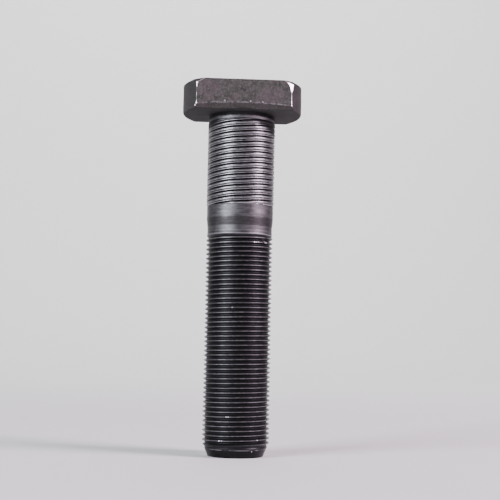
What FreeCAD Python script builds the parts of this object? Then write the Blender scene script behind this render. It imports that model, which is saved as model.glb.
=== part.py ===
"""Wheel bolt for a heavy vehicle: one forging with a T-shaped head, a ribbed shank and a thread.

The bolt stands on the end of its thread. The origin is the centre of that end face, +Z runs along
the axis to the head, X runs along the round width of the head and Y across its two flats.
"""
import FreeCAD, Part
import Sketcher
import os

NODE = "wheel_bolt"

# Driving dimensions in millimetres. Heights are measured up from the end of the thread.
DIMENSIONS = {
    "overall_length": 121.2,
    "head_thickness": 9.8,
    "head_radius": 19.65,
    "head_half_flats": 12.25,
    "top_chamfer_width": 1.0,
    "top_chamfer_height": 0.6,
    "foot_chamfer": 0.8,
    "bevel_width": 1.2,
    "bevel_height": 2.1,
    "neck_radius": 10.9,
    "neck_bottom": 108.8,
    "neck_fillet": 0.8,
    "rib_radius": 11.1,
    "rib_lead": 5.22,
    "rib_starts": 3.0,
    "rib_groove_depth": 0.42,
    "rib_groove_half_width": 0.34,
    "collar_radius": 10.9,
    "collar_top": 80.9,
    "collar_bottom": 76.8,
    "blank_radius": 10.62,
    "blank_top": 73.9,
    "blank_bottom": 71.7,
    "thread_top": 71.2,
    "thread_radius": 10.9,
    "thread_pitch": 1.5,
    "thread_depth": 0.88,
    "thread_crest_half_gap": 0.656,
    "thread_root_half_width": 0.148,
    "end_radius": 8.95,
    "end_chamfer_height": 4.6,
    "tool_overshoot": 0.4,
}

doc = FreeCAD.newDocument("wheel_bolt_model")
sheet = doc.addObject("Spreadsheet::Sheet", "bolt")
for row, (alias, value) in enumerate(DIMENSIONS.items(), start=1):
    sheet.set(f"A{row}", alias)
    sheet.set(f"B{row}", str(value))
    sheet.setAlias(f"B{row}", alias)
doc.recompute()

body = doc.addObject("PartDesign::Body", NODE)
body.Label = NODE


def origin_feature(role):
    """Return the body's own origin plane or axis that has the given role."""
    return next(item for item in body.Origin.OriginFeatures if item.Role == role)


def outline(name, plane, corners):
    """Sketch one closed polygon on an origin plane of the body.

    Each corner is a pair of sheet formulas. Each formula becomes a named dimension of the sketch,
    bound to the sheet, and a corner at "0" is held on the sketch's own axis instead.
    """
    sketch = body.newObject("Sketcher::SketchObject", name)
    sketch.AttachmentSupport = [(origin_feature(plane), "")]
    sketch.MapMode = "FlatFace"
    add_polygon(sketch, name, corners)
    return sketch


def add_polygon(sketch, prefix, corners):
    """Add one closed polygon of fully dimensioned corners to a sketch."""
    first = sketch.GeometryCount
    points = []
    for across, up in corners:
        points.append(FreeCAD.Vector(sheet.evalExpression(across), sheet.evalExpression(up), 0))
    for index, point in enumerate(points):
        following = points[(index + 1) % len(points)]
        sketch.addGeometry(Part.LineSegment(point, following), False)
    for index in range(len(points)):
        line = first + index
        following = first + (index + 1) % len(points)
        sketch.addConstraint(Sketcher.Constraint("Coincident", line, 2, following, 1))
    for index, (across, up) in enumerate(corners):
        line = first + index
        hold(sketch, line, "DistanceX", -2, across, points[index].x, f"{prefix}_x{index}")
        hold(sketch, line, "DistanceY", -1, up, points[index].y, f"{prefix}_y{index}")


def hold(sketch, line, kind, axis, formula, value, name):
    """Fix one coordinate of a line's start point, by a bound dimension or on the axis."""
    if formula == "0":
        sketch.addConstraint(Sketcher.Constraint("PointOnObject", line, 1, axis))
        return
    number = sketch.addConstraint(Sketcher.Constraint(kind, -1, 1, line, 1, value))
    sketch.renameConstraint(number, name)
    sketch.setExpression(f"Constraints.{name}", formula)


# The turned form of the whole forging: end chamfer, thread, blank, collar, ribs, neck and round head.
HEAD_BOTTOM = "bolt.overall_length - bolt.head_thickness"
section = outline("section", "XZ_Plane", [
    ("0", "0"),
    ("bolt.end_radius", "0"),
    ("bolt.thread_radius", "bolt.end_chamfer_height"),
    ("bolt.thread_radius", "bolt.thread_top"),
    ("bolt.blank_radius", "bolt.blank_bottom"),
    ("bolt.blank_radius", "bolt.blank_top"),
    ("bolt.collar_radius", "bolt.collar_bottom"),
    ("bolt.collar_radius", "bolt.collar_top"),
    ("bolt.rib_radius", "bolt.collar_top"),
    ("bolt.rib_radius", "bolt.neck_bottom"),
    ("bolt.neck_radius", "bolt.neck_bottom"),
    ("bolt.neck_radius", HEAD_BOTTOM),
    ("bolt.head_radius - bolt.foot_chamfer", HEAD_BOTTOM),
    ("bolt.head_radius", f"{HEAD_BOTTOM} + bolt.foot_chamfer"),
    ("bolt.head_radius", "bolt.overall_length - bolt.top_chamfer_height"),
    ("bolt.head_radius - bolt.top_chamfer_width", "bolt.overall_length"),
    ("0", "bolt.overall_length"),
])
forging = body.newObject("PartDesign::Revolution", "forging")
forging.Profile = section
forging.ReferenceAxis = (section, ["V_Axis"])
forging.Angle = 360.0
doc.recompute()

# The two flats of the head, each with its own bevel below, cut along X at both sides.
side_profiles = body.newObject("Sketcher::SketchObject", "side_profiles")
side_profiles.AttachmentSupport = [(origin_feature("YZ_Plane"), "")]
side_profiles.MapMode = "FlatFace"
for prefix, sign in (("front", "-"), ("rear", "")):
    add_polygon(side_profiles, prefix, [
        (f"{sign}(bolt.head_half_flats - bolt.bevel_width)", HEAD_BOTTOM),
        (f"{sign}bolt.head_half_flats", f"{HEAD_BOTTOM} + bolt.bevel_height"),
        (f"{sign}bolt.head_half_flats", "bolt.overall_length + bolt.tool_overshoot"),
        (f"{sign}(bolt.head_radius + bolt.tool_overshoot)", "bolt.overall_length + bolt.tool_overshoot"),
        (f"{sign}(bolt.head_radius + bolt.tool_overshoot)", HEAD_BOTTOM),
    ])
flats = body.newObject("PartDesign::Pocket", "flats")
flats.Profile = side_profiles
flats.Midplane = True
flats.setExpression("Length", "2 * (bolt.head_radius + bolt.tool_overshoot)")
doc.recompute()

# The small fillet where the neck runs into the underside of the head.
neck_edges = []
for number, edge in enumerate(flats.Shape.Edges, start=1):
    circle = getattr(edge, "Curve", None)
    if not isinstance(circle, Part.Circle):
        continue
    at_head = abs(circle.Center.z - (sheet.overall_length - sheet.head_thickness)) < 1e-6
    if at_head and abs(circle.Radius - sheet.neck_radius) < 1e-6:
        neck_edges.append(f"Edge{number}")
neck_fillet = body.newObject("PartDesign::Fillet", "neck_fillet")
neck_fillet.Base = (flats, neck_edges)
neck_fillet.setExpression("Radius", "bolt.neck_fillet")
doc.recompute()


def helical_groove(name, profile, pitch, height):
    """Cut a right-hand groove that climbs from the profile along the bolt's axis."""
    groove = body.newObject("PartDesign::SubtractiveHelix", name)
    groove.Profile = profile
    groove.ReferenceAxis = (profile, ["V_Axis"])
    groove.Mode = "pitch-height-angle"
    groove.setExpression("Pitch", pitch)
    groove.setExpression("Height", height)
    groove.Refine = False
    return groove


# The metric thread, cut as one groove that enters below the end chamfer and stops at the blank.
FLANK_SLOPE = "(bolt.thread_crest_half_gap - bolt.thread_root_half_width) / bolt.thread_depth"
OUTER_HALF_GAP = f"(bolt.thread_crest_half_gap + bolt.tool_overshoot * {FLANK_SLOPE})"
thread_profile = outline("thread_profile", "XZ_Plane", [
    ("bolt.thread_radius - bolt.thread_depth", "-bolt.thread_pitch - bolt.thread_root_half_width"),
    ("bolt.thread_radius + bolt.tool_overshoot", f"-bolt.thread_pitch - {OUTER_HALF_GAP}"),
    ("bolt.thread_radius + bolt.tool_overshoot", f"-bolt.thread_pitch + {OUTER_HALF_GAP}"),
    ("bolt.thread_radius - bolt.thread_depth", "-bolt.thread_pitch + bolt.thread_root_half_width"),
])
thread = helical_groove("thread", thread_profile, "bolt.thread_pitch",
                        "bolt.thread_top + bolt.thread_pitch")
doc.recompute()

# The rolled ribs of the press shank: one V groove, repeated round the axis for its other starts.
GROOVE_SLOPE = "bolt.rib_groove_half_width / bolt.rib_groove_depth"
GROOVE_OUTER = f"(bolt.rib_groove_half_width + bolt.tool_overshoot * {GROOVE_SLOPE})"
GROOVE_START = f"bolt.collar_top + {GROOVE_OUTER}"
rib_profile = outline("rib_profile", "XZ_Plane", [
    ("bolt.rib_radius - bolt.rib_groove_depth", GROOVE_START),
    ("bolt.rib_radius + bolt.tool_overshoot", f"{GROOVE_START} - {GROOVE_OUTER}"),
    ("bolt.rib_radius + bolt.tool_overshoot", f"{GROOVE_START} + {GROOVE_OUTER}"),
])
rib_groove = helical_groove("rib_groove", rib_profile, "bolt.rib_lead",
                            f"bolt.neck_bottom - bolt.collar_top - 2 * {GROOVE_OUTER}")
doc.recompute()
ribs = body.newObject("PartDesign::PolarPattern", "ribs")
ribs.Originals = [rib_groove]
ribs.Axis = (origin_feature("Z_Axis"), [""])
ribs.Angle = 360.0
ribs.setExpression("Occurrences", "bolt.rib_starts")
ribs.Refine = False
body.Tip = ribs
doc.recompute()

failed = [item.Name for item in doc.Objects if {"Invalid", "Error"} & set(item.State)]
if failed:
    raise RuntimeError(f"features not built: {failed}")
shape = body.Shape
if shape.isNull() or not shape.isValid() or len(shape.Solids) != 1:
    raise RuntimeError("the bolt isn't one valid solid")
stages = [forging, flats, neck_fillet, thread, rib_groove, ribs]
for before, after in zip(stages, stages[1:]):
    change = after.Shape.Volume - before.Shape.Volume
    print(f"{after.Label}: {change:.1f} mm3")
    if after is not neck_fillet and change >= 0.0:
        raise RuntimeError(f"{after.Label} cut nothing")

os.makedirs("parts", exist_ok=True)
shape.exportStep(f"parts/{NODE}.step")
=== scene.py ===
import math

import bmesh
import bpy
from mathutils import Matrix, Vector, noise


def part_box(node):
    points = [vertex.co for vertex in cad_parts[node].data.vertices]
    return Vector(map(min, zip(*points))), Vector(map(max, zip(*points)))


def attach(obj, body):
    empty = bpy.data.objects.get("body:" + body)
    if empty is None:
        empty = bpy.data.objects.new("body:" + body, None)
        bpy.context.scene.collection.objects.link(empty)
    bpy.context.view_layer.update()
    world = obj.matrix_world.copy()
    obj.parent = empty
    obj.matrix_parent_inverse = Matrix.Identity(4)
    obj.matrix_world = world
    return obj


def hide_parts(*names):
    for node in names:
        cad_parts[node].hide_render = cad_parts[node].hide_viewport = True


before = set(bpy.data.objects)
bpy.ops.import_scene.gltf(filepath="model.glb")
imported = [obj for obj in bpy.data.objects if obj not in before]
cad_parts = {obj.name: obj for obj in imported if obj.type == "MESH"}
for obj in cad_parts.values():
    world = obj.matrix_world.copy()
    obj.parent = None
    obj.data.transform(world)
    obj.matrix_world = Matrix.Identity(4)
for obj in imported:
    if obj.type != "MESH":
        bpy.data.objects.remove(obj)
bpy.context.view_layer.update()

# The end of the bolt: the flat cropped face of the steel bar, on which the bolt stands, with a small
# round where the end cone of the thread meets it.
# A millimetre in metres, and how many points stand in every row round the bolt.
MM = 0.001
COLUMNS = 128
END_RADIUS = 9.03 * MM
END_ROUND = 0.2 * MM


def circle(radius, height):
    """One row of points round the axis."""
    points = []
    for column in range(COLUMNS):
        angle = math.tau * column / COLUMNS
        points.append((radius * math.cos(angle), radius * math.sin(angle), height))
    return points


def quarter_turn(count):
    """Evenly spaced angles from nought to a right angle."""
    return [math.radians(90.0 * step / (count - 1)) for step in range(count)]


def band(name, rows, cap=None):
    """Join rows of points, from the lowest to the highest, and close one of them with a fan."""
    points = [point for row in rows for point in row]
    faces = []
    for low in range(len(rows) - 1):
        for column in range(COLUMNS):
            following = (column + 1) % COLUMNS
            faces.append((low * COLUMNS + column, low * COLUMNS + following,
                          (low + 1) * COLUMNS + following, (low + 1) * COLUMNS + column))
    if cap is not None:
        row, centre = cap
        points.append(centre)
        first = (row % len(rows)) * COLUMNS
        for column in range(COLUMNS):
            faces.append((first + column, first + (column + 1) % COLUMNS, len(points) - 1))
    mesh = bpy.data.meshes.new(name)
    mesh.from_pydata(points, [], faces)
    return mesh


end_rows = [circle(share * (END_RADIUS - END_ROUND), 0.0) for share in (0.25, 0.5, 0.75, 0.9)]
for angle in quarter_turn(4):
    end_rows.append(circle(END_RADIUS - END_ROUND + END_ROUND * math.sin(angle),
                           END_ROUND * (1.0 - math.cos(angle))))
end_face = band("end_face", end_rows, cap=(0, (0.0, 0.0, 0.0)))

# The thread: M22 x 1.5, right-hand, cold-rolled into the blank between flat dies, so its crests are a
# little rounded. It starts from a long cone at the end of the bolt and fades out at the blank.
THREAD_PITCH = 1.5 * MM
THREAD_RADIUS = 10.9 * MM
THREAD_DEPTH = 0.90 * MM
THREAD_BOTTOM = END_ROUND
THREAD_TOP = 71.2 * MM
# A crest passes the front of the bolt at this height.
THREAD_CREST = 38.6 * MM
BLANK_RADIUS = 10.62 * MM
# Radius gained along the cone at each end of the thread, and lost where its roots run out.
END_CONE_SLOPE = 0.43
BLANK_CONE_SLOPE = 0.9
THREAD_RUNOUT = 0.5
# A tooth's rows of points, from crest to crest: share of the spacing, share of the depth.
THREAD_TOOTH = [(-0.04, 0.0), (0.04, 0.0), (0.09, 0.10), (0.375, 0.90), (0.44, 1.0), (0.56, 1.0),
                (0.625, 0.90), (0.91, 0.10)]
# The front of the bolt, -Y, lies three quarters of a turn round from the first column, +X.
FRONT_TURN = 0.75
# Points closer together than this are one point.
SEAM_WELD = 0.001 * MM


class Value:
    """One output of a node, so that a sum over sockets is written as a sum."""

    def __init__(self, tree, socket):
        self.tree = tree
        self.socket = socket

    def math(self, operation, *others):
        return add_node(self.tree, "ShaderNodeMath", {"operation": operation},
                        dict(enumerate((self, *others))))

    def __add__(self, other):
        return self.math("ADD", other)

    def __sub__(self, other):
        return self.math("SUBTRACT", other)

    def __rsub__(self, other):
        return (self * -1.0).math("ADD", other)

    def __mul__(self, other):
        return self.math("MULTIPLY", other)

    def __truediv__(self, other):
        return self.math("DIVIDE", other)

    __radd__ = __add__
    __rmul__ = __mul__


def plug(tree, socket, value):
    """Link a value to a socket, or set the socket to a plain number or colour."""
    if isinstance(value, Value):
        tree.links.new(value.socket, socket)
    else:
        socket.default_value = value


def add_node(tree, kind, settings, values, output=0):
    """Add a node, set it up, and fill its sockets by name or number.

    It returns the output with the given name or number, or a list of all outputs for None. The
    setting called items is the number of items that a switch node picks from.
    """
    node = tree.nodes.new(kind)
    for name, setting in settings.items():
        if name == "items":
            while len(node.index_switch_items) < setting:
                node.index_switch_items.new()
        else:
            setattr(node, name, setting)
    for name, value in values.items():
        plug(tree, node.inputs[name], value)
    if output is None:
        return [Value(tree, socket) for socket in node.outputs]
    return Value(tree, node.outputs[output])


def helical_tree(name, tooth):
    """Build a tree that makes a band of helical teeth, closed round the axis and open at its ends.

    The tooth is a list of (share of the spacing, share of the depth) pairs, one for each row of
    points. The rows climb with the lead, so every crest and root is a true helix.
    """
    tree = bpy.data.node_groups.new(name, "GeometryNodeTree")
    tree.interface.new_socket("Geometry", in_out="OUTPUT", socket_type="NodeSocketGeometry")
    for label in ("Columns", "Rows"):
        tree.interface.new_socket(label, in_out="INPUT", socket_type="NodeSocketInt")
    for label in ("Spacing", "Lead", "Start", "Bottom", "Top", "Crest Radius", "Depth",
                  "Bottom Radius", "Bottom Slope", "Top Radius", "Top Slope", "Runout Slope"):
        tree.interface.new_socket(label, in_out="INPUT", socket_type="NodeSocketFloat")
    tree.interface.new_socket("Material", in_out="INPUT", socket_type="NodeSocketMaterial")
    inputs = add_node(tree, "NodeGroupInput", {}, {}, output=None)
    given = {value.socket.name: value for value in inputs if value.socket.name}

    # A flat grid gives the points. Each one's place in it says which turn, tooth and row it is on.
    grid = add_node(tree, "GeometryNodeMeshGrid", {}, {
        "Size X": 1.0, "Size Y": 1.0,
        "Vertices X": given["Columns"] + 1.0, "Vertices Y": given["Rows"]})
    place = add_node(tree, "GeometryNodeInputPosition", {}, {})
    across, along, _ = add_node(tree, "ShaderNodeSeparateXYZ", {}, {0: place}, output=None)
    turn = ((across + 0.5) * given["Columns"]).math("ROUND") / given["Columns"]
    row = ((along + 0.5) * (given["Rows"] - 1.0)).math("ROUND")
    number = ((row + 0.5) / float(len(tooth))).math("FLOOR")
    within = (row - number * float(len(tooth))).math("ROUND")

    def pick(values):
        """The one of these values that belongs to the point's row of its tooth."""
        return add_node(tree, "GeometryNodeIndexSwitch", {"data_type": "FLOAT", "items": len(values)},
                        {0: within, **dict(enumerate(values, start=1))})

    share = pick([spacing for spacing, _ in tooth])
    cut = pick([depth for _, depth in tooth])
    height = given["Start"] + given["Spacing"] * (number + share) + given["Lead"] * turn
    height = height.math("MAXIMUM", given["Bottom"]).math("MINIMUM", given["Top"])

    # The teeth stay inside a cone at each end and run out to that end's plain radius.
    radius = given["Crest Radius"] - given["Depth"] * cut
    for end, distance in (("Bottom", height - given["Bottom"]), ("Top", given["Top"] - height)):
        outer = given[f"{end} Radius"] + distance * given[f"{end} Slope"]
        inner = given[f"{end} Radius"] - distance * given["Runout Slope"]
        radius = radius.math("MINIMUM", outer).math("MAXIMUM", inner)
    angle = turn * math.tau
    point = add_node(tree, "ShaderNodeCombineXYZ", {}, {
        0: radius * angle.math("COSINE"), 1: radius * angle.math("SINE"), 2: height})
    shaped = add_node(tree, "GeometryNodeSetPosition", {}, {"Geometry": grid, "Position": point})
    closed = add_node(tree, "GeometryNodeMergeByDistance", {}, {
        "Geometry": shaped, "Distance": SEAM_WELD})
    real = add_node(tree, "GeometryNodeRealizeInstances", {}, {"Geometry": closed})
    finished = add_node(tree, "GeometryNodeSetMaterial", {}, {
        "Geometry": real, "Material": given["Material"]})
    add_node(tree, "NodeGroupOutput", {}, {0: finished}, output=None)
    return tree


def made_by(tree, name, sizes):
    """Run a tree with the given sizes and return what it makes as a plain mesh."""
    host = bpy.data.objects.new(name, bpy.data.meshes.new(name))
    bpy.context.scene.collection.objects.link(host)
    modifier = host.modifiers.new(name, "NODES")
    modifier.node_group = tree
    for item in tree.interface.items_tree:
        if item.in_out == "INPUT":
            modifier[item.identifier] = sizes[item.name]
    evaluated = host.evaluated_get(bpy.context.evaluated_depsgraph_get())
    mesh = bpy.data.meshes.new_from_object(evaluated)
    bpy.data.objects.remove(host)
    return mesh


def rows_of(tooth, bottom, top, spacing, lead):
    """How many rows of points cover a band from one end to the other all the way round."""
    return (math.ceil((top - bottom + lead) / spacing) + 2) * len(tooth) + 1


steel = bpy.data.materials.new("phosphated_steel")
steel.use_nodes = True
thread_start = THREAD_CREST - FRONT_TURN * THREAD_PITCH
thread_start -= math.ceil((thread_start - THREAD_BOTTOM) / THREAD_PITCH + 1.0) * THREAD_PITCH
thread = made_by(helical_tree("rolled thread", THREAD_TOOTH), "thread", {
    "Columns": COLUMNS,
    "Rows": rows_of(THREAD_TOOTH, THREAD_BOTTOM, THREAD_TOP, THREAD_PITCH, THREAD_PITCH),
    "Spacing": THREAD_PITCH, "Lead": THREAD_PITCH, "Start": thread_start,
    "Bottom": THREAD_BOTTOM, "Top": THREAD_TOP, "Crest Radius": THREAD_RADIUS,
    "Depth": THREAD_DEPTH, "Bottom Radius": END_RADIUS, "Bottom Slope": END_CONE_SLOPE,
    "Top Radius": BLANK_RADIUS, "Top Slope": BLANK_CONE_SLOPE, "Runout Slope": THREAD_RUNOUT,
    "Material": steel})

# The collar: plain drawn steel above the thread. From below it has a bead that the thread dies push
# up, the rest of the thread's blank, a short cone, and the cylinder that centres the bolt in the hub.
BLANK_TOP = 73.9 * MM
COLLAR_RADIUS = 10.9 * MM
COLLAR_BOTTOM = 76.8 * MM
COLLAR_TOP = 80.9 * MM
BEAD_HEIGHT = 0.6 * MM
BEAD_RISE = 0.11 * MM
BEAD_STEPS = 6
CONE_STEPS = 8


def steps_between(low, high, count):
    """Evenly spaced heights from just above the low one up to the high one."""
    return [low + (high - low) * step / count for step in range(1, count + 1)]


collar_rows = [circle(BLANK_RADIUS, THREAD_TOP)]
for step, height in enumerate(steps_between(THREAD_TOP, THREAD_TOP + BEAD_HEIGHT, BEAD_STEPS), start=1):
    collar_rows.append(circle(BLANK_RADIUS + BEAD_RISE * math.sin(math.pi * step / BEAD_STEPS), height))
for height in steps_between(THREAD_TOP + BEAD_HEIGHT, BLANK_TOP, 6):
    collar_rows.append(circle(BLANK_RADIUS, height))
for step, height in enumerate(steps_between(BLANK_TOP, COLLAR_BOTTOM, CONE_STEPS), start=1):
    share = step / CONE_STEPS
    eased = share * share * (3.0 - 2.0 * share)
    radius = BLANK_RADIUS + (COLLAR_RADIUS - BLANK_RADIUS) * (0.5 * share + 0.5 * eased)
    collar_rows.append(circle(radius, height))
for height in steps_between(COLLAR_BOTTOM, COLLAR_TOP, 8):
    collar_rows.append(circle(COLLAR_RADIUS, height))
collar = band("collar", collar_rows)

# The press shank: ribs between three parallel right-hand grooves, rolled into the steel to bite the
# bore of the hub. Each land carries the faint seam that the rolls leave along its middle.
RIB_STARTS = 3
RIB_LEAD = 5.22 * MM
RIB_SPACING = RIB_LEAD / RIB_STARTS
RIB_RADIUS = 11.1 * MM
RIB_DEPTH = 0.42 * MM
RIB_BOTTOM = COLLAR_TOP
RIB_TOP = 108.8 * MM
# A groove passes the front of the bolt at this height.
RIB_GROOVE = 93.97 * MM
RIB_END_SLOPE = 0.8
# From groove to groove: share of the spacing, share of the depth. The seam is the dip at 0.41.
RIB_TOOTH = [(0.0, 1.0), (0.05, 0.92), (0.12, 0.34), (0.18, 0.07), (0.25, 0.0), (0.33, 0.14),
             (0.41, 0.38), (0.49, 0.14), (0.59, 0.01), (0.73, 0.02), (0.86, 0.24), (0.95, 0.92)]
rib_start = RIB_GROOVE - FRONT_TURN * RIB_LEAD
rib_start -= math.ceil((rib_start - RIB_BOTTOM + RIB_LEAD) / RIB_SPACING) * RIB_SPACING
ribs = made_by(helical_tree("rolled ribs", RIB_TOOTH), "ribs", {
    "Columns": COLUMNS,
    "Rows": rows_of(RIB_TOOTH, RIB_BOTTOM, RIB_TOP, RIB_SPACING, RIB_LEAD),
    "Spacing": RIB_SPACING, "Lead": RIB_LEAD, "Start": rib_start,
    "Bottom": RIB_BOTTOM, "Top": RIB_TOP, "Crest Radius": RIB_RADIUS, "Depth": RIB_DEPTH,
    "Bottom Radius": COLLAR_RADIUS, "Bottom Slope": RIB_END_SLOPE, "Top Radius": COLLAR_RADIUS,
    "Top Slope": RIB_END_SLOPE, "Runout Slope": RIB_END_SLOPE, "Material": steel})

# The head: a drop-forged steel disc with two flats that stop it turning behind the hub flange. The
# disc has a chamfered crown and a rounded lower edge, and each flat has a bevel along its foot.
foot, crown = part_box("wheel_bolt")
HEAD_RADIUS = 19.65 * MM
HEAD_FLAT = 12.25 * MM
HEAD_FOOT = 111.4 * MM
HEAD_CROWN = crown.z
CORNER_X = math.sqrt(HEAD_RADIUS ** 2 - HEAD_FLAT ** 2)
CORNER_ROUND = 0.6 * MM
FOOT_ROUND = 0.8 * MM
FLAT_ROUND = 0.3 * MM
BEVEL_WIDTH = 1.2 * MM
BEVEL_HEIGHT = 2.1 * MM
CHAMFER_WIDTH = 1.0 * MM
CHAMFER_HEIGHT = 0.6 * MM
NECK_FILLET = 0.8 * MM
# How many of a quarter's columns stand on its arc, its corner and its flat. Above one, CROWDING
# draws those of the arc and the flat together towards the corner.
ARC_STEPS = 9
CORNER_STEPS = 5
FLAT_STEPS = COLUMNS // 4 - ARC_STEPS - CORNER_STEPS
CROWDING = 1.35


def outline(radius, flat, corner, height):
    """One level of the head: an arc, a rounded corner and half a flat, mirrored to all four quarters."""
    centre_x = math.sqrt((radius - corner) ** 2 - (flat - corner) ** 2)
    centre_y = flat - corner
    meeting = math.atan2(centre_y, centre_x)
    quarter = []
    for step in range(ARC_STEPS):
        angle = meeting * (1.0 - (1.0 - step / ARC_STEPS) ** CROWDING)
        quarter.append((radius * math.cos(angle), radius * math.sin(angle)))
    for step in range(CORNER_STEPS):
        angle = meeting + (math.pi / 2.0 - meeting) * step / CORNER_STEPS
        quarter.append((centre_x + corner * math.cos(angle), centre_y + corner * math.sin(angle)))
    for step in range(FLAT_STEPS):
        quarter.append((centre_x * (1.0 - (step / FLAT_STEPS) ** CROWDING), flat))
    half = quarter + [(0.0, flat)] + [(-x, y) for x, y in reversed(quarter[1:])]
    whole = half + [(-x, -y) for x, y in half]
    return [(x, y, height) for x, y in whole]


def disc_radius(height):
    """The disc's radius at a height: rounded at the foot and chamfered at the crown."""
    above = min(height - HEAD_FOOT, FOOT_ROUND)
    foot_loss = FOOT_ROUND - math.sqrt(max(FOOT_ROUND ** 2 - (FOOT_ROUND - above) ** 2, 0.0))
    chamfer = max(height - (HEAD_CROWN - CHAMFER_HEIGHT), 0.0) * CHAMFER_WIDTH / CHAMFER_HEIGHT
    return HEAD_RADIUS - foot_loss - chamfer


def flat_distance(height):
    """The flat's distance from the axis at a height: bevelled at the foot, rounded at the crown."""
    bevel = max(1.0 - (height - HEAD_FOOT) / BEVEL_HEIGHT, 0.0) * BEVEL_WIDTH
    near_top = max(height - (HEAD_CROWN - FLAT_ROUND), 0.0)
    round_loss = FLAT_ROUND - math.sqrt(max(FLAT_ROUND ** 2 - near_top ** 2, 0.0))
    return HEAD_FLAT - bevel - round_loss


def level(height):
    """The head's row of points at a height."""
    return outline(disc_radius(height), flat_distance(height), CORNER_ROUND, height)


def between(row_a, row_b, share):
    """A row of points part of the way from one row to another."""
    return [tuple(a + (b - a) * share for a, b in zip(p, q)) for p, q in zip(row_a, row_b)]


# The neck and its fillet, then the underside, the wall of the disc, and the crown.
head_rows = [circle(COLLAR_RADIUS, RIB_TOP)]
for height in steps_between(RIB_TOP, HEAD_FOOT - NECK_FILLET, 6)[:-1]:
    head_rows.append(circle(COLLAR_RADIUS, height))
for angle in quarter_turn(6):
    head_rows.append(circle(COLLAR_RADIUS + NECK_FILLET * (1.0 - math.cos(angle)),
                            HEAD_FOOT - NECK_FILLET * (1.0 - math.sin(angle))))
neck_edge = head_rows[-1]
foot_edge = level(HEAD_FOOT)
for share in (0.2, 0.4, 0.6, 0.8, 0.95):
    head_rows.append(between(neck_edge, foot_edge, share))
# Levels up the wall: its rounded foot, close ones about the top of the bevel, then the chamfer.
heights = [HEAD_FOOT + FOOT_ROUND * (1.0 - math.cos(angle)) for angle in quarter_turn(7)]
heights += [HEAD_FOOT + BEVEL_HEIGHT * share for share in (0.5, 0.7, 0.85, 0.93, 1.0, 1.07, 1.15)]
wall_top = HEAD_CROWN - CHAMFER_HEIGHT
heights += steps_between(heights[-1], wall_top, 14)
heights += [wall_top + CHAMFER_HEIGHT * share for share in (0.25, 0.5, 0.65, 0.8, 0.9, 0.97, 1.0)]
head_rows += [level(height) for height in heights]
crown_edge = head_rows[-1]
crown_centre = (0.0, 0.0, HEAD_CROWN)
for share in (0.05, 0.2, 0.4, 0.6, 0.8):
    head_rows.append(between(crown_edge, [crown_centre] * COLUMNS, share))
head = band("head", head_rows, cap=(-1, crown_centre))

# The wheel bolt: all of these are one piece of forged steel. Forging leaves the head's skin slightly
# uneven, and its bevels sag towards their ends. Knocks have cut back the crown at both front corners,
# sliced flakes off the right one and dented crests and one rib.
# Points closer together than these are one point, and points this close to a cut lie on it.
PIECE_WELD = 0.002 * MM
CUT_WELD = 0.0001 * MM
ON_PLANE = 0.001 * MM
SHARP_ANGLE = math.radians(38.0)
# The skin's depth, and how many waves and finer ripples of noise it has to a metre.
SKIN_DEPTH = 0.06 * MM
SKIN_WAVES = 260.0
SKIN_RIPPLES = 700.0
# How far the bevel's upper edge drops at its ends, and how high above the foot that is felt.
BEVEL_SAG = 0.7 * MM
SAG_REACH = 5.0 * MM
# Each knock and flake is a flat cut through three points: x, y and height in mm.
KNOCKS = (((-15.36, -12.25, 119.6), (-12.7, -12.25, 121.1), (-17.0, -9.86, 120.5)),
          ((15.36, -12.25, 119.6), (12.9, -12.25, 121.1), (17.0, -9.86, 120.5)))
FLAKES = (((14.33, -12.25, 120.6), (15.36, -12.25, 116.7), (16.05, -11.34, 119.6)),
          ((13.5, -12.25, 121.0), (15.0, -12.25, 118.9), (16.25, -11.05, 120.3)))
# Dents in the crests: height in mm, degrees round from +X, distance from the axis and size in mm.
NICKS = ((69.2, -40.5, 10.6, 2.1), (68.7, -66.0, 10.9, 0.7), (68.73, -62.5, 10.9, 0.7),
         (68.75, -59.0, 10.9, 0.6), (47.55, -103.0, 10.9, 0.7), (13.0, -109.5, 10.9, 0.9),
         (13.0, -106.0, 10.9, 0.7), (5.5, -121.0, 10.8, 0.8), (5.5, -117.0, 10.8, 0.7),
         (5.75, -53.0, 10.8, 0.8), (2.2, -61.0, 9.95, 0.5))
# A dent in one rib that left its phosphate whole, given in the same way.
BRUISE = (101.6, -89.0, 11.1, 0.7)
# The depth of a dent as a share of its size.
DENT_SHARE = 0.2


def near(distance, width):
    """One at no distance, fading to nought over about twice the width."""
    return math.exp(-(distance / width) ** 2)


def on_shank(height, degrees, radius):
    """A point on the shank, from its height, its angle round the axis and its radius."""
    angle = math.radians(degrees)
    return Vector((radius * math.cos(angle), radius * math.sin(angle), height)) * MM


def sag(x, share):
    """How far a level has dropped at a place along the flat, by its share of the full sag."""
    return BEVEL_SAG * (x / CORNER_X) * (x / CORNER_X) * share


joined = bmesh.new()
for mesh in (end_face, thread, collar, ribs, head):
    joined.from_mesh(mesh)
bmesh.ops.remove_doubles(joined, verts=joined.verts, dist=PIECE_WELD)
bmesh.ops.recalc_face_normals(joined, faces=joined.faces)
joined.normal_update()

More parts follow.
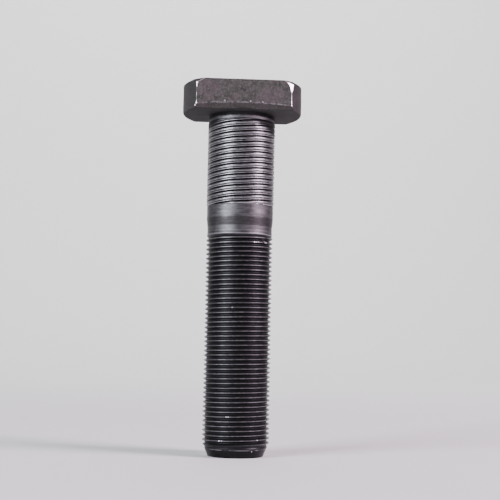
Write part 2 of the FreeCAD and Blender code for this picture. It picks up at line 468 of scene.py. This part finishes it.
for vertex in joined.verts:
    x, y, z = vertex.co
    if abs(y) > HEAD_FLAT - BEVEL_WIDTH - 0.3 * MM and HEAD_FOOT < z < HEAD_FOOT + SAG_REACH:
        if z < HEAD_FOOT + BEVEL_HEIGHT:
            share = (z - HEAD_FOOT) / BEVEL_HEIGHT
        else:
            share = 1.0 - (z - HEAD_FOOT - BEVEL_HEIGHT) / (SAG_REACH - BEVEL_HEIGHT)
        vertex.co.z -= sag(x, share)
    if z > HEAD_FOOT - 0.1 * MM:
        skin = noise.noise(vertex.co * SKIN_WAVES) + 0.5 * noise.noise(vertex.co * SKIN_RIPPLES)
        vertex.co -= vertex.normal * SKIN_DEPTH * min(max(0.5 + 0.6 * skin, 0.0), 1.0)
for height, degrees, radius, size in (*NICKS, BRUISE):
    centre = on_shank(height, degrees, radius)
    for vertex in joined.verts:
        closeness = near((vertex.co - centre).length, 0.5 * size * MM)
        if closeness > 0.05:
            inward = Vector((vertex.co.x, vertex.co.y, 0.0)).normalized()
            vertex.co -= inward * DENT_SHARE * size * MM * closeness

cut_planes = []
for corners in (*KNOCKS, *FLAKES):
    first, second, third = (Vector(corner) * MM for corner in corners)
    away = (second - first).cross(third - first).normalized()
    if away.y > 0.0:
        away.negate()
    cut_planes.append((first, away))
    faces = [face for face in joined.faces if face.calc_center_median().z > HEAD_FOOT]
    edges = {edge for face in faces for edge in face.edges}
    points = {vertex for face in faces for vertex in face.verts}
    bmesh.ops.bisect_plane(joined, geom=[*faces, *edges, *points], dist=CUT_WELD, plane_co=first,
                           plane_no=away, clear_outer=True)
    bmesh.ops.edgeloop_fill(joined, edges=[edge for edge in joined.edges if edge.is_boundary])
bmesh.ops.recalc_face_normals(joined, faces=joined.faces)

bolt_mesh = bpy.data.meshes.new("bolt")
joined.to_mesh(bolt_mesh)
joined.free()
bolt_mesh.materials.append(steel)
for polygon in bolt_mesh.polygons:
    polygon.use_smooth = True
bolt_mesh.set_sharp_from_angle(angle=SHARP_ANGLE)
for edge in bolt_mesh.edges:
    ends = [bolt_mesh.vertices[index].co for index in edge.vertices]
    for point, away in cut_planes:
        if all(abs((end - point).dot(away)) < ON_PLANE for end in ends):
            edge.use_edge_sharp = True
bolt = bpy.data.objects.new("bolt", bolt_mesh)
bpy.context.scene.collection.objects.link(bolt)
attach(bolt, "root")
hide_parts("wheel_bolt")

# The bolt's finish: black phosphate, grown on the steel in a bath after forging and rolling. It is
# thick and mottled on the head, rubbed to a grey sheen on the ribs and black in the grooves.
tree = steel.node_tree
shader = tree.nodes["Principled BSDF"]
coordinates = add_node(tree, "ShaderNodeTexCoord", {}, {}, output="Object")
x, y, z = add_node(tree, "ShaderNodeSeparateXYZ", {}, {0: coordinates}, output=None)
radius = (x * x + y * y).math("SQRT")


def ramp(value, low, high):
    """A smooth step from nought at the low value to one at the high value."""
    return add_node(tree, "ShaderNodeMapRange", {"interpolation_type": "SMOOTHSTEP"},
                    {"Value": value, "From Min": low, "From Max": high})


def mix(factor, first, second):
    """Blend two colours. Sockets 6 and 7 and output 2 are a Mix node's colours."""
    return add_node(tree, "ShaderNodeMix", {"data_type": "RGBA"}, {0: factor, 6: first, 7: second},
                    output=2)


def grain(size_mm, detail):
    """Noise with features of about the given size."""
    return add_node(tree, "ShaderNodeTexNoise", {}, {
        "Vector": coordinates, "Scale": 1.0 / (size_mm * MM), "Detail": detail, "Roughness": 0.6})


def streaks(width_mm, height_mm):
    """Noise drawn out round the shank, as rolling draws out its surface."""
    turned = add_node(tree, "ShaderNodeCombineXYZ", {}, {
        0: x * (1.0 / (width_mm * MM)), 1: y * (1.0 / (width_mm * MM)), 2: z * (1.0 / (height_mm * MM))})
    return add_node(tree, "ShaderNodeTexNoise", {}, {
        "Vector": turned, "Scale": 1.0, "Detail": 3.0, "Roughness": 0.55})


def spot(centre, size_mm):
    """One inside a small spot about a point, nought outside it, with a ragged edge."""
    away = add_node(tree, "ShaderNodeVectorMath", {"operation": "DISTANCE"},
                    {0: coordinates, 1: centre}, output="Value")
    return 1.0 - ramp(away + (mottle - 0.5) * (0.6 * size_mm * MM), 0.35 * size_mm * MM,
                      0.5 * size_mm * MM)


def front_spot(across_mm, height_mm, size_mm):
    """A spot on the front flat, from its distance across the flat and its height."""
    return spot((across_mm * MM, -HEAD_FLAT, height_mm * MM), size_mm)


def line_at(distance, solid_mm, faded_mm):
    """One within the solid distance of a line, nought beyond the faded one."""
    return 1.0 - ramp(distance.math("ABSOLUTE"), solid_mm * MM, faded_mm * MM)


# The phosphate's grain, from blotches a few millimetres across down to crystals, and its streaks.
mottle = grain(0.8, 6.0)
blotch = grain(5.0, 3.0)
patch = grain(2.6, 5.0)
crystal = grain(0.3, 3.0)
fine = streaks(2.2, 0.15)
broad = streaks(3.5, 0.7)

# Which zone of the bolt a place is on, by its height.
on_thread = 1.0 - ramp(z, THREAD_TOP - 0.1 * MM, THREAD_TOP + 0.1 * MM)
on_ribs = ramp(z, RIB_BOTTOM - 0.05 * MM, RIB_BOTTOM + 0.1 * MM)
on_neck = ramp(z, RIB_TOP - 0.1 * MM, RIB_TOP + 0.1 * MM)
on_head = ramp(z, HEAD_FOOT - 0.6 * MM, HEAD_FOOT)

# Distances inwards from the head's two surfaces, both followed down their chamfer or bevel. Where
# neither is far, the place is on an upright corner.
above_wall = (z - (HEAD_CROWN - CHAMFER_HEIGHT)).math("MAXIMUM", 0.0)
from_rim = HEAD_RADIUS - radius - above_wall * (CHAMFER_WIDTH / CHAMFER_HEIGHT)
bevel_here = BEVEL_HEIGHT - sag(x, 1.0)
bevel_loss = (1.0 - (z - HEAD_FOOT) / bevel_here).math("MAXIMUM", 0.0) * BEVEL_WIDTH
from_flat = HEAD_FLAT - y.math("ABSOLUTE") - bevel_loss
from_corner = from_rim.math("MAXIMUM", from_flat)

# Bare steel, where handling has worn the phosphate through: the head's upright corners, the cuts
# across them, a few scuffs round the front flat, and the nicks in the thread. The glints along the
# front bevel are painted highlights, drawn as spots of bare steel.
BARE_STEEL = (0.90, 0.89, 0.90, 1.0)
# Scuffs by a corner: x, y, height and size in mm.
SCUFFS = ((-15.2, -12.2, 119.6, 1.0), (-15.5, -12.1, 112.85, 0.8), (-15.85, -11.6, 112.3, 0.7),
          (15.4, -12.2, 112.9, 0.5))
# Painted glints along the top of the front bevel: distance across the flat, height and size in mm.
GLINTS = ((-6.25, 113.85, 0.55), (2.1, 113.9, 0.5), (6.0, 113.75, 0.45))


def off_plane(plane):
    """The distance from a plane."""
    point, away = plane
    height = add_node(tree, "ShaderNodeVectorMath", {"operation": "DOT_PRODUCT"},
                      {0: coordinates, 1: away}, output="Value")
    return (height - point.dot(away)).math("ABSOLUTE")


# A worn strip runs down each upright corner, wider near the crown. Its edge is ragged. On the left
# it is a little narrower than on the right, but it reaches further down.
left = x.math("LESS_THAN", 0.0)
widening = ramp(z, 117.0 * MM, 119.6 * MM) * 0.04
reach = (widening + 0.14 - left * 0.03) * MM * (1.2 * mottle + 0.4)
lowest = HEAD_FOOT + (1.0 - left * 0.5) * MM
wear_and_glints = ramp(reach - from_corner, 0.0, 0.06 * MM) * ramp(z - lowest, 0.0, 0.3 * MM)
wear_and_glints = wear_and_glints * (1.0 - ramp(z, HEAD_CROWN - 1.25 * MM, HEAD_CROWN - 1.05 * MM))
# A flake is bare nearly all over, a knock only where it breaks the front flat.
for plane in cut_planes[len(KNOCKS):]:
    on_flake = (1.0 - ramp(off_plane(plane), 0.01 * MM, 0.03 * MM)) * on_head
    wear_and_glints = wear_and_glints.math("MAXIMUM", on_flake * ramp(mottle, 0.25, 0.42))
for plane in cut_planes[:len(KNOCKS)]:
    from_edge = off_plane(plane).math("MAXIMUM", from_flat) + (mottle - 0.5) * (0.12 * MM)
    wear_and_glints = wear_and_glints.math("MAXIMUM", (1.0 - ramp(from_edge, 0.04 * MM, 0.11 * MM)) * on_head)
for *centre, size in SCUFFS:
    wear_and_glints = wear_and_glints.math("MAXIMUM", spot([part * MM for part in centre], size))
# Painted glints: bright bare-steel spots that stand for highlights on the bevel's top.
for glint in GLINTS:
    wear_and_glints = wear_and_glints.math("MAXIMUM", front_spot(*glint))
for *place, size in NICKS:
    wear_and_glints = wear_and_glints.math("MAXIMUM", spot(on_shank(*place), size * 0.8))

# The head's colour: brown-black phosphate in patches and blotches, with black crystals in it. It is
# darker on the round sides and the bevels, and its underside is painted black as shade. Along the top
# of the bevels a lighter line is painted, partly rubbing and partly a painted highlight.
PATCH_DARK = (0.026, 0.026, 0.021, 1.0)
PATCH_LIGHT = (0.046, 0.042, 0.038, 1.0)
BLOTCH_BROWN = (0.074, 0.050, 0.056, 1.0)
MOTTLE_GREY = (0.078, 0.072, 0.066, 1.0)
CRYSTAL_BLACK = (0.012, 0.012, 0.011, 1.0)
PIT_BLACK = (0.012, 0.010, 0.010, 1.0)
SIDE_BLACK = (0.012, 0.012, 0.012, 1.0)
BEVEL_BLACK = (0.028, 0.022, 0.022, 1.0)
BEVEL_HIGHLIGHT_GREY = (0.20, 0.185, 0.19, 1.0)
UNDERSIDE_SHADE_BLACK = (0.008, 0.009, 0.008, 1.0)
# Pits in the front flat: distance across the flat, height and size in mm.
PITS = ((0.1, 117.4, 1.5), (-0.9, 117.9, 0.8), (-9.6, 115.0, 0.9), (-8.9, 114.7, 0.8))
forged = mix(ramp(patch, 0.36, 0.64), PATCH_DARK, PATCH_LIGHT)
forged = mix(ramp(blotch, 0.46, 0.58) * 0.55, forged, BLOTCH_BROWN)
forged = mix(ramp(mottle, 0.46, 0.62) * 0.7, forged, MOTTLE_GREY)
forged = mix(ramp(crystal, 0.50, 0.70) * 0.6, forged, CRYSTAL_BLACK)
for pit in PITS:
    forged = mix(front_spot(*pit) * 0.6, forged, PIT_BLACK)
on_side = 1.0 - ramp(from_rim, 0.08 * MM, 0.35 * MM)
forged = mix(on_side * 0.55, forged, SIDE_BLACK)
above_bevel = z - HEAD_FOOT - bevel_here
on_bevel = 1.0 - ramp(above_bevel, -0.1 * MM, 0.1 * MM)
forged = mix(on_bevel * 0.4, forged, BEVEL_BLACK)
# A broken lighter line at the top of the bevel: partly rubbing, partly a painted highlight.
bevel_highlight_line = line_at(above_bevel + (patch - 0.5) * (0.5 * MM), 0.08, 0.25)
bevel_highlight_line = bevel_highlight_line * (1.0 - ramp(from_flat, 0.1 * MM, 0.25 * MM))
forged = mix(bevel_highlight_line * ramp(mottle, 0.36, 0.60) * 0.6, forged, BEVEL_HIGHLIGHT_GREY)
# Painted shade: the head's underside is darkened, and made duller and rougher below.
painted_underside_shade = (1.0 - ramp(z, HEAD_FOOT + 0.05 * MM, HEAD_FOOT + 0.35 * MM)) * on_head
forged = mix(painted_underside_shade * 0.85, forged, UNDERSIDE_SHADE_BLACK)

# The ribs' colour: lands rubbed to a streaky grey by the rolls and by handling, with a dark seam and
# black grooves. Close under the head they are painted black as the head's shadow on them.
RUBBED_GREY = (0.10, 0.098, 0.10, 1.0)
RUBBED_BRIGHT = (0.31, 0.305, 0.31, 1.0)
SEAM_BLACK = (0.022, 0.021, 0.022, 1.0)
GROOVE_BLACK = (0.005, 0.005, 0.005, 1.0)
HEAD_SHADE_BLACK = (0.008, 0.008, 0.008, 1.0)
rib_depth = ramp(RIB_RADIUS - radius, 0.10 * MM, 0.26 * MM) * (1.0 - on_neck)
seam = ramp(RIB_RADIUS - radius, 0.03 * MM, 0.10 * MM) * (1.0 - on_neck)
# The painted shadow ends below in a shallow arch, which is highest 2 mm left of the middle.
from_middle = x + 2.0 * MM
painted_head_shadow = ramp(z + from_middle * from_middle * (0.03 / MM), 107.8 * MM, 109.8 * MM)
rubbed = mix(ramp(fine, 0.32, 0.66), RUBBED_GREY, RUBBED_BRIGHT)
rubbed = mix(ramp(broad, 0.45, 0.7) * 0.35, rubbed, RUBBED_GREY)
rubbed = mix(seam * 0.92, rubbed, SEAM_BLACK)
rubbed = mix(rib_depth, rubbed, GROOVE_BLACK)
# Painted shadow: the head's shade laid on the ribs as black colour.
rubbed = mix(painted_head_shadow * 0.95, rubbed, HEAD_SHADE_BLACK)

# The colour of the collar and the neck: plain grey phosphate with fine streaks round it. The cone is
# painted darker as shade, and the neck up under the head is painted black as shade.
COLLAR_DARK = (0.060, 0.058, 0.060, 1.0)
COLLAR_LIGHT = (0.105, 0.102, 0.105, 1.0)
CONE_SHADE_DARK = (0.026, 0.024, 0.024, 1.0)
STREAK_GREY = (0.14, 0.137, 0.14, 1.0)
plain = mix(ramp(broad, 0.35, 0.65), COLLAR_DARK, COLLAR_LIGHT)
on_cone = ramp(z, BLANK_TOP, BLANK_TOP + 0.4 * MM)
on_cone = on_cone * (1.0 - ramp(z, COLLAR_BOTTOM - 0.2 * MM, COLLAR_BOTTOM + 0.3 * MM))
# Painted shade: the downward-facing cone is darkened.
plain = mix(on_cone * 0.8, plain, CONE_SHADE_DARK)
plain = mix(ramp(fine, 0.5, 0.7) * 0.3, plain, STREAK_GREY)
# Painted shade: the neck close under the head is darkened to black.
painted_neck_shade = ramp(z + (mottle - 0.5) * (0.6 * MM), RIB_TOP + 0.5 * MM, RIB_TOP + 1.2 * MM)
plain = mix(painted_neck_shade, plain, HEAD_SHADE_BLACK)

# The thread's colour: crests rubbed grey, dark roots, the end painted black as shade, and a broken
# bright line round the end cone, partly rubbing and partly a painted highlight.
CREST_GREY = (0.13, 0.128, 0.13, 1.0)
CREST_BRIGHT = (0.24, 0.235, 0.24, 1.0)
ROOT_BLACK = (0.022, 0.022, 0.023, 1.0)
END_SHADE_BLACK = (0.010, 0.010, 0.010, 1.0)
CONE_HIGHLIGHT_GREY = (0.26, 0.255, 0.26, 1.0)
thread_depth = ramp(THREAD_RADIUS - radius, 0.02 * MM, 0.20 * MM)
cut = mix(ramp(mottle, 0.35, 0.7), CREST_GREY, CREST_BRIGHT)
cut = mix(thread_depth, cut, ROOT_BLACK)
# Painted shade: the end of the bolt is darkened to black.
cut = mix(1.0 - ramp(z, 2.2 * MM, 2.7 * MM), cut, END_SHADE_BLACK)
# A broken light line round the end cone: partly rubbing, partly a painted highlight.
cone_highlight_line = line_at(z - 2.55 * MM + (patch - 0.5) * (0.1 * MM), 0.04, 0.14) * ramp(patch, 0.40, 0.55)
cut = mix(cone_highlight_line * 0.8, cut, CONE_HIGHLIGHT_GREY)

# The whole finish. Lighter lines run round the first rib, the bead and the blank, partly rubbing and
# partly painted highlights, and the bead's shadow is painted on the blank above it.
SHADOW_BLACK = (0.020, 0.020, 0.020, 1.0)
HIGHLIGHT_LINE_GREY = (0.36, 0.35, 0.36, 1.0)
colour = mix(on_thread, mix(on_ribs * (1.0 - on_neck), plain, rubbed), cut)
bead_shadow = line_at(z - (THREAD_TOP + 0.75 * MM), 0.05, 0.20)
colour = mix(bead_shadow * 0.5, colour, SHADOW_BLACK)
# Painted highlights, partly rubbing: light rings where the edges catch the light.
step_highlight_line = line_at(z - (RIB_BOTTOM + 0.25 * MM), 0.06, 0.18) * (1.0 - rib_depth)
bead_highlight_line = line_at(z - (THREAD_TOP + 0.26 * MM), 0.08, 0.22)
roll_highlight_line = line_at(z - (THREAD_TOP + 1.35 * MM), 0.05, 0.16)
line = step_highlight_line.math("MAXIMUM", bead_highlight_line * 0.5).math("MAXIMUM", roll_highlight_line * 0.2)
colour = mix(line * 0.8, colour, HIGHLIGHT_LINE_GREY)
colour = mix(on_head, colour, forged)
colour = mix(wear_and_glints, colour, BARE_STEEL)
plug(tree, shader.inputs["Base Color"], colour)

# Thick phosphate hides the metal and scatters light, so the head is the dullest and bare steel the
# brightest.
metallic = on_head * -0.4 + 0.85 - painted_underside_shade * 0.45
plug(tree, shader.inputs["Metallic"], metallic.math("MAXIMUM", wear_and_glints))
on_collar = (1.0 - on_ribs) * (1.0 - on_thread)
rough = 0.32 + (mottle - 0.5) * 0.3 + painted_head_shadow * on_ribs * (1.0 - on_head) * 0.25
rough = rough + on_head * 0.2 + on_collar * 0.12 + painted_underside_shade * 0.35 + painted_neck_shade * 0.2
rough = rough + on_thread * 0.08
plug(tree, shader.inputs["Roughness"], rough * (1.0 - wear_and_glints) + wear_and_glints * 0.35)
relief = mottle * 0.5 + crystal * 0.3 + fine * on_ribs * (1.0 - on_head) * 0.7
bump = add_node(tree, "ShaderNodeBump", {}, {
    "Strength": 0.6, "Distance": 0.06 * MM, "Height": relief})
plug(tree, shader.inputs["Normal"], bump)

# The stage: a sheet of pale paper that lies on the table and curves up into a wall, in metres.
TABLE_FRONT = -1.2
TABLE_BACK = 0.9
CURVE_RADIUS = 0.35
CURVE_STEPS = 12
WALL_TOP = 1.6
HALF_WIDTH = 1.6
pale = bpy.data.materials.new("pale_paper")
pale.use_nodes = True
paper = pale.node_tree.nodes["Principled BSDF"]
paper.inputs["Base Color"].default_value = (0.78, 0.78, 0.77, 1.0)
paper.inputs["Roughness"].default_value = 0.8
sweep = [(TABLE_FRONT, 0.0), (TABLE_BACK, 0.0)]
for angle in quarter_turn(CURVE_STEPS + 1)[1:]:
    sweep.append((TABLE_BACK + CURVE_RADIUS * math.sin(angle), CURVE_RADIUS * (1.0 - math.cos(angle))))
sweep.append((TABLE_BACK + CURVE_RADIUS, WALL_TOP))
points = [(side * HALF_WIDTH, back, up) for back, up in sweep for side in (-1.0, 1.0)]
faces = [(2 * row, 2 * row + 1, 2 * row + 3, 2 * row + 2) for row in range(len(sweep) - 1)]
floor_mesh = bpy.data.meshes.new("floor")
floor_mesh.from_pydata(points, [], faces)
floor_mesh.materials.append(pale)
for polygon in floor_mesh.polygons:
    polygon.use_smooth = True
floor = bpy.data.objects.new("floor", floor_mesh)
bpy.context.scene.collection.objects.link(floor)

# The room: bright where the camera sees it, dim as a light, so that the softboxes shape the steel.
ROOM_LIGHT = 0.08
ROOM_SEEN = 0.72
world = bpy.data.worlds.new("studio")
world.use_nodes = True
room = world.node_tree.nodes["Background"]
room.inputs["Color"].default_value = (0.9, 0.92, 0.95, 1.0)
seen = add_node(world.node_tree, "ShaderNodeLightPath", {}, {})
plug(world.node_tree, room.inputs["Strength"], seen * ROOM_SEEN + ROOM_LIGHT)
bpy.context.scene.world = world

# The lights: a cool softbox on the left and a warmer one on the right draw the two long reflections
# down the shank, and a third lights the paper behind it.
BOLT_MIDDLE = Vector((0.0, 0.0, (foot.z + crown.z) / 2.0))
WALL_MIDDLE = Vector((0.0, 1.15, 0.35))


def softbox(name, aim, azimuth, elevation, distance, width, height, power, colour):
    """A rectangular light that faces its aim, placed by degrees and metres."""
    light_data = bpy.data.lights.new(name, "AREA")
    light_data.shape = "RECTANGLE"
    light_data.size = width
    light_data.size_y = height
    light_data.energy = power
    light_data.color = colour
    light = bpy.data.objects.new(name, light_data)
    bpy.context.scene.collection.objects.link(light)
    flat = math.cos(math.radians(elevation))
    away = Vector((math.sin(math.radians(azimuth)) * flat, -math.cos(math.radians(azimuth)) * flat,
                   math.sin(math.radians(elevation))))
    light.location = aim + away * distance
    light.rotation_euler = away.to_track_quat("Z", "Y").to_euler()


softbox("left_softbox", BOLT_MIDDLE, -50.0, 19.0, 0.9, 0.40, 0.5, 15.0, (0.87, 0.90, 1.0))
softbox("right_softbox", BOLT_MIDDLE, 66.0, 28.0, 0.9, 0.34, 0.7, 17.0, (1.0, 0.79, 0.97))
softbox("backdrop_light", WALL_MIDDLE, 0.0, 40.0, 0.75, 1.6, 0.4, 14.0, (1.0, 1.0, 1.0))

# The camera: a long lens at the height of the thread, a step to the left of square-on to the head's
# front flat, looking a little upwards and held with a slight roll. Its angles are in radians.
EYE_HEIGHT = 35.5 * MM
EYE_DISTANCE = 352.0 * MM
EYE_AZIMUTH = math.radians(2.86)
AIM_PAST_AXIS = 0.01006
HEADING = EYE_AZIMUTH + AIM_PAST_AXIS
PITCH_UP = 0.0890
ROLL = 0.01975
SENSOR_WIDTH = 36.0
LENS_PER_SENSOR = 2.1488
camera_data = bpy.data.cameras.new("camera")
camera_data.sensor_width = SENSOR_WIDTH
camera_data.lens = SENSOR_WIDTH * LENS_PER_SENSOR
camera_data.clip_start = 0.01
camera_data.clip_end = 20.0
camera = bpy.data.objects.new("camera", camera_data)
bpy.context.scene.collection.objects.link(camera)
bpy.context.scene.camera = camera
eye = Vector((-math.sin(EYE_AZIMUTH), -math.cos(EYE_AZIMUTH), 0.0)) * EYE_DISTANCE
eye.z = foot.z + EYE_HEIGHT
forward = Vector((math.cos(PITCH_UP) * math.sin(HEADING), math.cos(PITCH_UP) * math.cos(HEADING),
                  math.sin(PITCH_UP)))
level_right = Vector((math.cos(HEADING), -math.sin(HEADING), 0.0))
level_up = level_right.cross(forward)
right = level_right * math.cos(ROLL) + level_up * math.sin(ROLL)
up = level_up * math.cos(ROLL) - level_right * math.sin(ROLL)
turned = Matrix((right, up, -forward)).transposed().to_4x4()
camera.matrix_world = Matrix.Translation(eye) @ turned
